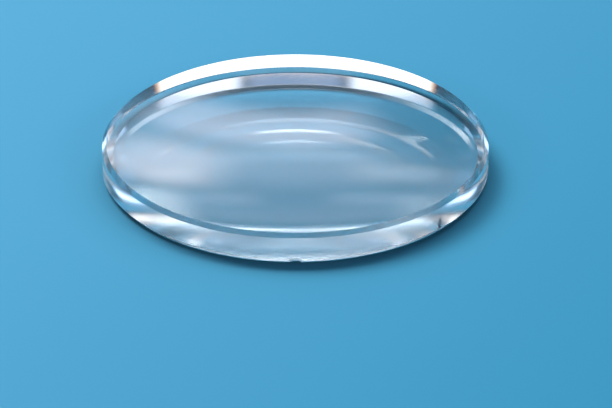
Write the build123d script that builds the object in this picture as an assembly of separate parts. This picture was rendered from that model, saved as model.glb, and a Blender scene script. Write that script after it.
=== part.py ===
from build123d import *
import os
from math import cos, radians, sin, sqrt

# A single round lens of clear optical glass: one flat face, one hollow spherical face, a polished
# cylindrical edge and a narrow chamfer round each face. It rests on its flat face.
# Millimetres, +Z up. The origin is the middle of the flat face, and Z is the optical axis.

# Driving dimensions
diameter = 75.0
edge_thickness = 6.4
hollow_depth = 5.2
top_chamfer = 0.8
bottom_chamfer = 1.1

# Shell-shaped chip broken out of the lower edge
chip_angle = -90.0
chip_width = 3.0
chip_height = 1.4
chip_depth = 1.5

# Crack further round the lower edge: a foot at the chamfer and a round shell mark above it
crack_angle = -42.6
crack_foot_width = 0.9
crack_foot_height = 1.0
crack_foot_depth = 1.2
crack_foot_middle = 0.8
crack_head_width = 1.1
crack_head_height = 0.8
crack_head_depth = 0.3
crack_head_middle = 2.4

# Sizes worked out from them
radius = diameter / 2
rim_radius = radius - top_chamfer
foot_radius = radius - bottom_chamfer
centre_thickness = edge_thickness - hollow_depth
hollow_radius = (rim_radius**2 + hollow_depth**2) / (2 * hollow_depth)


def lens_blank():
    """The ground and polished disc: half its section, turned about the optical axis."""
    half_chord = rim_radius / 2
    hollow_centre = centre_thickness + hollow_radius
    hollow_midway = hollow_centre - sqrt(hollow_radius**2 - half_chord**2)
    with BuildPart() as blank:
        with BuildSketch(Plane.XZ):
            with BuildLine():
                Polyline(
                    (0, centre_thickness),
                    (0, 0),
                    (foot_radius, 0),
                    (radius, bottom_chamfer),
                    (radius, edge_thickness - top_chamfer),
                    (rim_radius, edge_thickness),
                )
                ThreePointArc(
                    (rim_radius, edge_thickness),
                    (half_chord, hollow_midway),
                    (0, centre_thickness),
                )
            make_face()
        revolve(axis=Axis.Z)
    return blank.part


def break_out(angle, width, height, depth, middle):
    """An ellipsoid of glass lost from the edge, centred on the wall's surface."""
    scoop = scale(Sphere(1.0), by=(depth, width / 2, height))
    x = radius * cos(radians(angle))
    y = radius * sin(radians(angle))
    return Pos(x, y, middle) * Rot(0, 0, angle) * scoop


def lens():
    """The finished lens: the blank less what has broken out of its lower edge."""
    chip = break_out(chip_angle, chip_width, chip_height, chip_depth, 0.0)
    crack_foot = break_out(
        crack_angle, crack_foot_width, crack_foot_height, crack_foot_depth, crack_foot_middle
    )
    crack_head = break_out(
        crack_angle, crack_head_width, crack_head_height, crack_head_depth, crack_head_middle
    )
    return lens_blank() - chip - crack_foot - crack_head


os.makedirs("parts", exist_ok=True)
piece = lens()
piece.label = "lens"
export_step(piece, "parts/lens.step")
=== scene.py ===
import math

import bmesh
import bpy
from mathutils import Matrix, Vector


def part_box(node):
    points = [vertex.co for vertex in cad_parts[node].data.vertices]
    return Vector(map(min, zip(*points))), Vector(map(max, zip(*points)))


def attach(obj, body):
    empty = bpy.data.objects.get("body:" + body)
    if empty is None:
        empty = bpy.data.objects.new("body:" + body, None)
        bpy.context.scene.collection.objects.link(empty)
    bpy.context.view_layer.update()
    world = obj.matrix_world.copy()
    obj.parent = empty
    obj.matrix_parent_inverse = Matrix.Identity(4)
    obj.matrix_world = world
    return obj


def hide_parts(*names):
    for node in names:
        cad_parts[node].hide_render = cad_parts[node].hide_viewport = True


# A round plano-concave lens of clear glass on a plain blue table, flat face down.
# Metres, +Z up, and Z is the optical axis, as in the CAD frame.

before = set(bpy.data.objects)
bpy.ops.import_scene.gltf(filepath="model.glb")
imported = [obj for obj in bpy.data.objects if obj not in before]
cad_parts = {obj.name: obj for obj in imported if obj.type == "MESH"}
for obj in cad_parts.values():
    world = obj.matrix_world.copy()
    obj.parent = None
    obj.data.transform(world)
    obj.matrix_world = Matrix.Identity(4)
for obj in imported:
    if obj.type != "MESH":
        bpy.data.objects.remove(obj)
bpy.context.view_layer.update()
lens_low, lens_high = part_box("lens")

# The lens, from the frame and the same driving sizes as the CAD part
RADIUS = (lens_high.x - lens_low.x) / 2
EDGE_THICKNESS = lens_high.z - lens_low.z
HOLLOW_DEPTH = 0.0052
TOP_CHAMFER = 0.0008
BOTTOM_CHAMFER = 0.0011
RIM_RADIUS = RADIUS - TOP_CHAMFER
FOOT_RADIUS = RADIUS - BOTTOM_CHAMFER
HOLLOW_RADIUS = (RIM_RADIUS**2 + HOLLOW_DEPTH**2) / (2 * HOLLOW_DEPTH)

# Breaks in the lower edge: angle round the rim in degrees, then width, half height, depth and
# the height of the middle. Each is an ellipsoid centred on the wall's surface.
BREAKS = {
    "chip": (-90.0, 0.0030, 0.0014, 0.0015, 0.0),
    "crack_foot": (-42.6, 0.0009, 0.0010, 0.0012, 0.0008),
    "crack_head": (-42.6, 0.0011, 0.0008, 0.0003, 0.0024),
}

# Mesh fineness
COARSE_STEP = math.radians(1.0)
FINE_STEP = math.radians(0.08)
WALL_ROWS = 60
FACE_ROWS = 56
CHAMFER_ROWS = 10
SHARP_ANGLE = math.radians(14)
FACE_GRADING = 1.7
WALL_GRADING = 1.3

# Glass, in the order of the lens's materials
GLASS_IOR = 1.47
CRACK_COLOUR = (0.1, 0.13, 0.16)
RIPPLE_DEPTH = 0.0001
HAZE_FROM_Y, HAZE_TO_Y = -0.034, -0.012
FACE, EDGE, BEVEL, CHIP, CRACK = range(5)

# Camera: where the middle of the rim lies in the picture, and how large the rim is there
PICTURE_WIDTH, PICTURE_HEIGHT = 612, 408
RIM_CENTRE_PX = (295.4, 141.7)
RIM_RADIUS_PX = 193.3
CAMERA_DISTANCE = 1.5
CAMERA_ELEVATION = math.radians(28.1)
SENSOR_WIDTH = 36.0

# Room
FLOOR_GAP = 0.0001
FLOOR_SIZE = 12.0
# Painted light on the table: its colour is painted lighter near the key light and darker away
# from it, along the direction below.
FLOOR_PAINTED_NEAR_LIGHT = (0.135, 0.455, 0.70)
FLOOR_PAINTED_FAR_FROM_LIGHT = (0.052, 0.31, 0.50)
FLOOR_PAINTED_LIGHT_FALL = (4.3, -2.2, 0)


def rim_angles():
    """Angles round the lens, close together at each break."""
    fine = []
    for angle, width, *_ in BREAKS.values():
        half = 0.6 * width / RADIUS
        fine.append((math.radians(angle) - half, math.radians(angle) + half))
    angles = []
    at = -math.pi
    while at < math.pi - FINE_STEP / 2:
        angles.append(at)
        near = any(low - COARSE_STEP < at < high for low, high in fine)
        at += FINE_STEP if near else COARSE_STEP
    return angles


def profile():
    """Half the lens's section as (radius, height, kind of surface above it), from the middle of
    the flat face, out round the edge and in to the middle of the hollow one."""
    rows = []
    for i in range(FACE_ROWS):
        share = i / FACE_ROWS
        rows.append((FOOT_RADIUS * (1 - (1 - share) ** FACE_GRADING), 0.0, FACE))
    for i in range(CHAMFER_ROWS):
        rise = BOTTOM_CHAMFER * i / CHAMFER_ROWS
        rows.append((FOOT_RADIUS + rise, rise, BEVEL))
    wall = EDGE_THICKNESS - TOP_CHAMFER - BOTTOM_CHAMFER
    for i in range(WALL_ROWS):
        share = (i / WALL_ROWS) ** WALL_GRADING
        rows.append((RADIUS, BOTTOM_CHAMFER + wall * share, EDGE))
    rows.append((RADIUS, EDGE_THICKNESS - TOP_CHAMFER, EDGE))
    for i in range(FACE_ROWS + 1):
        share = i / FACE_ROWS
        radius = RIM_RADIUS * (1 - share**FACE_GRADING)
        rise = HOLLOW_RADIUS - math.sqrt(HOLLOW_RADIUS**2 - radius**2)
        rows.append((radius, EDGE_THICKNESS - HOLLOW_DEPTH + rise, FACE))
    return rows


def broken(point):
    """A point of the whole lens, moved onto the surface of any break that takes it away, and that
    break's kind, or None."""
    for name, (angle, width, height, depth, middle) in BREAKS.items():
        turn = math.radians(angle)
        out = Vector((math.cos(turn), math.sin(turn), 0))
        along = Vector((-out.y, out.x, 0))
        centre = out * RADIUS + Vector((0, 0, middle))
        away = point - centre
        scaled = Vector((away.dot(out) / depth, away.dot(along) / (width / 2), away.z / height))
        if 0 < scaled.length < 1:
            scaled.normalize()
            moved = out * scaled.x * depth + along * scaled.y * width / 2
            kind = CHIP if name == "chip" else CRACK
            return centre + moved + Vector((0, 0, scaled.z * height)), kind
    return point, None


def lens_mesh():
    """The lens as one closed mesh turned round Z, with its breaks."""
    angles = rim_angles()
    count = len(angles)
    mesh = bmesh.new()
    rings, kinds = [], []
    hit = {}
    for radius, height, kind in profile():
        kinds.append(kind)
        if radius < 1e-9:
            rings.append([mesh.verts.new((0, 0, height))])
            continue
        ring = []
        for angle in angles:
            whole = Vector((radius * math.cos(angle), radius * math.sin(angle), height))
            point, broken_kind = broken(whole)
            vertex = mesh.verts.new(point)
            if broken_kind:
                hit[vertex] = broken_kind
            ring.append(vertex)
        rings.append(ring)
    for lower, upper, kind in zip(rings, rings[1:], kinds):
        for i in range(count):
            j = (i + 1) % count
            if len(lower) == 1:
                corners = [lower[0], upper[j], upper[i]]
            elif len(upper) == 1:
                corners = [lower[i], lower[j], upper[0]]
            else:
                corners = [lower[i], lower[j], upper[j], upper[i]]
            face = mesh.faces.new(corners)
            face.smooth = True
            face.material_index = max([hit.get(v, 0) for v in corners]) or kind
    bmesh.ops.recalc_face_normals(mesh, faces=mesh.faces)
    for edge in mesh.edges:
        if len(edge.link_faces) == 2 and edge.calc_face_angle() > SHARP_ANGLE:
            edge.smooth = False
    data = bpy.data.meshes.new("lens_glass")
    mesh.to_mesh(data)
    mesh.free()
    return data


def glass(name, roughness, variation, scale, bump, front_haze=0.0, colour=(1, 1, 1)):
    """Clear glass whose polish varies a little, as a handled optical surface does. The front haze
    is roughness added where the wall faces -Y, which smooths fine stripes in it."""
    material = bpy.data.materials.new(name)
    material.use_nodes = True
    nodes, links = material.node_tree.nodes, material.node_tree.links
    shader = nodes["Principled BSDF"]
    shader.inputs["Base Color"].default_value = (*colour, 1)
    shader.inputs["Transmission Weight"].default_value = 1
    shader.inputs["IOR"].default_value = GLASS_IOR
    shader.inputs["Roughness"].default_value = roughness
    place = nodes.new("ShaderNodeTexCoord")
    noise = nodes.new("ShaderNodeTexNoise")
    noise.inputs["Scale"].default_value = scale
    noise.inputs["Detail"].default_value = 4
    span = nodes.new("ShaderNodeMapRange")
    span.inputs["From Min"].default_value = 0.35
    span.inputs["From Max"].default_value = 0.7
    span.inputs["To Min"].default_value = roughness
    span.inputs["To Max"].default_value = roughness + variation
    links.new(place.outputs["Object"], noise.inputs["Vector"])
    links.new(noise.outputs["Fac"], span.inputs["Value"])
    finish = span.outputs["Result"]
    if front_haze:
        split = nodes.new("ShaderNodeSeparateXYZ")
        links.new(place.outputs["Object"], split.inputs[0])
        haze = ramp(nodes, links, split.outputs["Y"], HAZE_FROM_Y, HAZE_TO_Y, front_haze, 0.0)
        finish = math_node(nodes, links, "ADD", finish, haze)
    links.new(finish, shader.inputs["Roughness"])
    if bump:
        ripple = nodes.new("ShaderNodeBump")
        ripple.inputs["Strength"].default_value = bump
        ripple.inputs["Distance"].default_value = RIPPLE_DEPTH
        links.new(noise.outputs["Fac"], ripple.inputs["Height"])
        links.new(ripple.outputs["Normal"], shader.inputs["Normal"])
    return material


def stop_light_to_table(material):
    """Stops light bound for the table at this glass, for a deep shadow at the foot. Clear glass
    would really pass some of it on to the table."""
    nodes, links = material.node_tree.nodes, material.node_tree.links
    path = nodes.new("ShaderNodeLightPath")
    dark = nodes.new("ShaderNodeBsdfDiffuse")
    dark.inputs["Color"].default_value = (0, 0, 0, 1)
    mix = nodes.new("ShaderNodeMixShader")
    links.new(path.outputs["Is Diffuse Ray"], mix.inputs["Fac"])
    links.new(nodes["Principled BSDF"].outputs["BSDF"], mix.inputs[1])
    links.new(dark.outputs["BSDF"], mix.inputs[2])
    links.new(mix.outputs["Shader"], nodes["Material Output"].inputs["Surface"])


def build_lens():
    """The glass lens, which stands for the CAD one."""
    lens = bpy.data.objects.new("lens_glass", lens_mesh())
    bpy.context.scene.collection.objects.link(lens)
    lens.data.materials.append(glass("polished_face", 0.05, 0.03, 90, 0))
    for material in (
        glass("polished_edge", 0.03, 0.02, 200, 0, 0.2),
        glass("bevel", 0.05, 0.05, 200, 0, 0.5),
        glass("chipped_glass", 0.5, 0.2, 3000, 0.2),
        glass("cracked_glass", 0.1, 0.1, 3000, 0.4, 0.0, CRACK_COLOUR),
    ):
        stop_light_to_table(material)
        lens.data.materials.append(material)
    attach(lens, "root")
    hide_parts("lens")


def build_floor():
    """A blue table with painted light: its colour is painted lighter near the key light and
    darker away from it.
    """
    data = bpy.data.meshes.new("floor")
    half = FLOOR_SIZE / 2
    corners = [(-half, -half), (half, -half), (half, half), (-half, half)]
    data.from_pydata([(x, y, -FLOOR_GAP) for x, y in corners], [], [(0, 1, 2, 3)])
    floor = bpy.data.objects.new("floor", data)
    bpy.context.scene.collection.objects.link(floor)
    material = bpy.data.materials.new("table")
    material.use_nodes = True
    nodes, links = material.node_tree.nodes, material.node_tree.links
    shader = nodes["Principled BSDF"]
    shader.inputs["Roughness"].default_value = 0.7
    shader.inputs["Specular IOR Level"].default_value = 0.0
    place = nodes.new("ShaderNodeTexCoord")
    # Painted fall-off of light: the table colour is mixed from the near-light colour to the
    # far-from-light colour along the fall direction.
    across = nodes.new("ShaderNodeVectorMath")
    across.operation = "DOT_PRODUCT"
    across.inputs[1].default_value = FLOOR_PAINTED_LIGHT_FALL
    links.new(place.outputs["Object"], across.inputs[0])
    painted_light_fall = math_node(nodes, links, "ADD", across.outputs["Value"], 0.5)
    mix = nodes.new("ShaderNodeMix")
    mix.data_type = "RGBA"
    links.new(painted_light_fall, mix.inputs["Factor"])
    mix.inputs["A"].default_value = (*FLOOR_PAINTED_NEAR_LIGHT, 1)
    mix.inputs["B"].default_value = (*FLOOR_PAINTED_FAR_FROM_LIGHT, 1)
    links.new(mix.outputs["Result"], shader.inputs["Base Color"])
    data.materials.append(material)


def math_node(nodes, links, operation, first, second=None):
    node = nodes.new("ShaderNodeMath")
    node.operation = operation
    for socket, value in zip(node.inputs, (first, second)):
        if value is None:
            continue
        if isinstance(value, (int, float)):
            socket.default_value = value
        else:
            links.new(value, socket)
    return node.outputs[0]


def ramp(nodes, links, value, low, high, start=0.0, end=1.0):
    node = nodes.new("ShaderNodeMapRange")
    node.interpolation_type = "SMOOTHSTEP"
    links.new(value, node.inputs["Value"])
    node.inputs["From Min"].default_value = low
    node.inputs["From Max"].default_value = high
    node.inputs["To Min"].default_value = start
    node.inputs["To Max"].default_value = end
    return node.outputs["Result"]


# Soft boxes in the room. Azimuths run from +Y towards +X. Each box is its azimuth, half width and
# soft edge, its lowest and highest elevation and their soft edge, all in degrees, its radiance as
# a colour, and how much warmer it is at its edge. What a ray sees depends on how it came, which
# no real room does: it lets the sheen on the glass and the light through it be set apart.
# These light the table and show through the glass, but not as mirror reflections:
LAMP_BOXES = [
    (-41, 20, 5, 37, 62, 4, (9.3, 9.9, 9.9), 0.0),
    (0, 42, 6, 59, 70, 3, (6.6, 7.0, 7.0), 0.0),
    (34, 14, 4, 42, 54, 3, (3.0, 3.4, 3.4), 0.0),
    (17, 7, 4, 26, 34, 3, (2.3, 2.4, 2.5), 0.3),
    (-20, 5, 3, 27, 34, 2, (1.7, 1.75, 1.8), 0.3),
    (1, 11, 4, 15, 24, 3, (1.0, 1.35, 1.7), 0.0),
    (0, 6, 3, -2, 7, 2, (5.5, 6.0, 6.4), 0.0),
]
# These show only as mirror reflections:
MIRROR_BOXES = [
    (4, 12, 4, 35, 45, 3, (3.1, 2.8, 3.0), 0.0),
    (4, 12, 5, 22, 44, 7, (1.3, 1.4, 1.6), 0.0),
    (3, 15, 5, 2, 52, 5, (0.6, 0.65, 0.75), 0.0),
    (10, 4, 3, 16, 31, 4, (2.6, 2.2, 2.1), 0.0),
]
# And these lie on both sides alike, mirrored in X, and light and show as the first do:
PAIRED_BOXES = [
    (180, 92, 5, 21, 27.5, 0.7, (1.7, 1.65, 1.6), 0.3),
    (115, 30, 6, 28, 33, 1, (1.1, 1.25, 1.5), 0.0),
    (180, 30, 8, 28, 38, 1, (0.2, 0.28, 0.44), 0.0),
    (14, 8, 3, 40, 45, 1.5, (1.6, 1.8, 2.0), 0.0),
    (37, 10, 3, 25, 33, 2, (1.9, 2.7, 3.9), 0.0),
]
AMBIENT = (0.03, 0.07, 0.11)

# What the camera sees past the table
BACKDROP = (0.42, 0.66, 0.80, 1)


def build_world():
    """The soft boxes over a dim blue room, and a pale blue behind it all for the camera."""
    world = bpy.data.worlds.new("studio")
    bpy.context.scene.world = world
    world.use_nodes = True
    nodes, links = world.node_tree.nodes, world.node_tree.links
    place = nodes.new("ShaderNodeTexCoord")
    split = nodes.new("ShaderNodeSeparateXYZ")
    links.new(place.outputs["Generated"], split.inputs[0])
    x, y, z = split.outputs
    elevation = math_node(nodes, links, "ARCSINE", z)
    azimuth = math_node(nodes, links, "ARCTAN2", x, y)
    either_side = math_node(nodes, links, "ABSOLUTE", azimuth)
    path = nodes.new("ShaderNodeLightPath")
    mirrored = math_node(nodes, links, "MULTIPLY", path.outputs["Is Glossy Ray"],
                         path.outputs["Is Reflection Ray"])
    unmirrored = math_node(nodes, links, "SUBTRACT", 1, mirrored)
    boxes = [(azimuth, unmirrored, box) for box in LAMP_BOXES]
    boxes += [(azimuth, mirrored, box) for box in MIRROR_BOXES]
    boxes += [(either_side, unmirrored, box) for box in PAIRED_BOXES]
    total = None
    for at, seen, (*angles, radiance, warm) in boxes:
        middle, half, soft, low, high, soft_end = [math.radians(angle) for angle in angles]
        side = math_node(nodes, links, "ABSOLUTE",
                         math_node(nodes, links, "SUBTRACT", at, middle))
        lit = ramp(nodes, links, side, half - soft, half + soft, 1.0, 0.0)
        lit = math_node(nodes, links, "MULTIPLY", lit,
                        ramp(nodes, links, elevation, low - soft_end, low + soft_end))
        lit = math_node(nodes, links, "MULTIPLY", lit,
                        ramp(nodes, links, elevation, high - soft_end, high + soft_end,
                             1.0, 0.0))
        lit = math_node(nodes, links, "MULTIPLY", lit, seen)
        box = nodes.new("ShaderNodeVectorMath")
        box.operation = "MULTIPLY_ADD"
        if warm:
            shades = nodes.new("ShaderNodeCombineXYZ")
            for socket, power in zip(shades.inputs, (1 - warm, 1, 1 + warm)):
                links.new(math_node(nodes, links, "POWER", lit, power), socket)
            links.new(shades.outputs[0], box.inputs[0])
        else:
            links.new(lit, box.inputs[0])
        box.inputs[1].default_value = radiance
        if total:
            links.new(total, box.inputs[2])
        else:
            box.inputs[2].default_value = AMBIENT
        total = box.outputs[0]
    behind = nodes.new("ShaderNodeMix")
    behind.data_type = "RGBA"
    behind.inputs["B"].default_value = BACKDROP
    links.new(path.outputs["Is Camera Ray"], behind.inputs["Factor"])
    links.new(total, behind.inputs["A"])
    links.new(behind.outputs["Result"], nodes["Background"].inputs["Color"])
    nodes["Background"].inputs["Strength"].default_value = 1


def build_camera():
    """A camera aimed by turning it, so that the rim lies where the picture has it."""
    data = bpy.data.cameras.new("camera")
    camera = bpy.data.objects.new("camera", data)
    bpy.context.scene.collection.objects.link(camera)
    bpy.context.scene.camera = camera
    focal_px = RIM_RADIUS_PX * CAMERA_DISTANCE / RADIUS
    data.sensor_width = SENSOR_WIDTH
    data.lens = focal_px * SENSOR_WIDTH / PICTURE_WIDTH
    data.clip_start, data.clip_end = 0.01, 100
    ahead = Vector((0, math.cos(CAMERA_ELEVATION), -math.sin(CAMERA_ELEVATION)))
    right = Vector((1, 0, 0))
    up = right.cross(ahead)
    rim = Vector((0, 0, EDGE_THICKNESS))
    camera.location = rim - ahead * CAMERA_DISTANCE
    metres_per_px = CAMERA_DISTANCE / focal_px
    aim = rim + right * (PICTURE_WIDTH / 2 - RIM_CENTRE_PX[0]) * metres_per_px
    aim -= up * (PICTURE_HEIGHT / 2 - RIM_CENTRE_PX[1]) * metres_per_px
    camera.rotation_euler = (aim - camera.location).to_track_quat("-Z", "Y").to_euler()


def set_renderer():
    """Plain colours, and enough bounces for light that goes round inside the glass."""
    scene = bpy.context.scene
    scene.view_settings.view_transform = "Standard"
    scene.cycles.max_bounces = 40
    scene.cycles.transmission_bounces = 40
    scene.cycles.glossy_bounces = 40
    scene.cycles.diffuse_bounces = 3


build_lens()
build_floor()
build_world()
build_camera()
set_renderer()
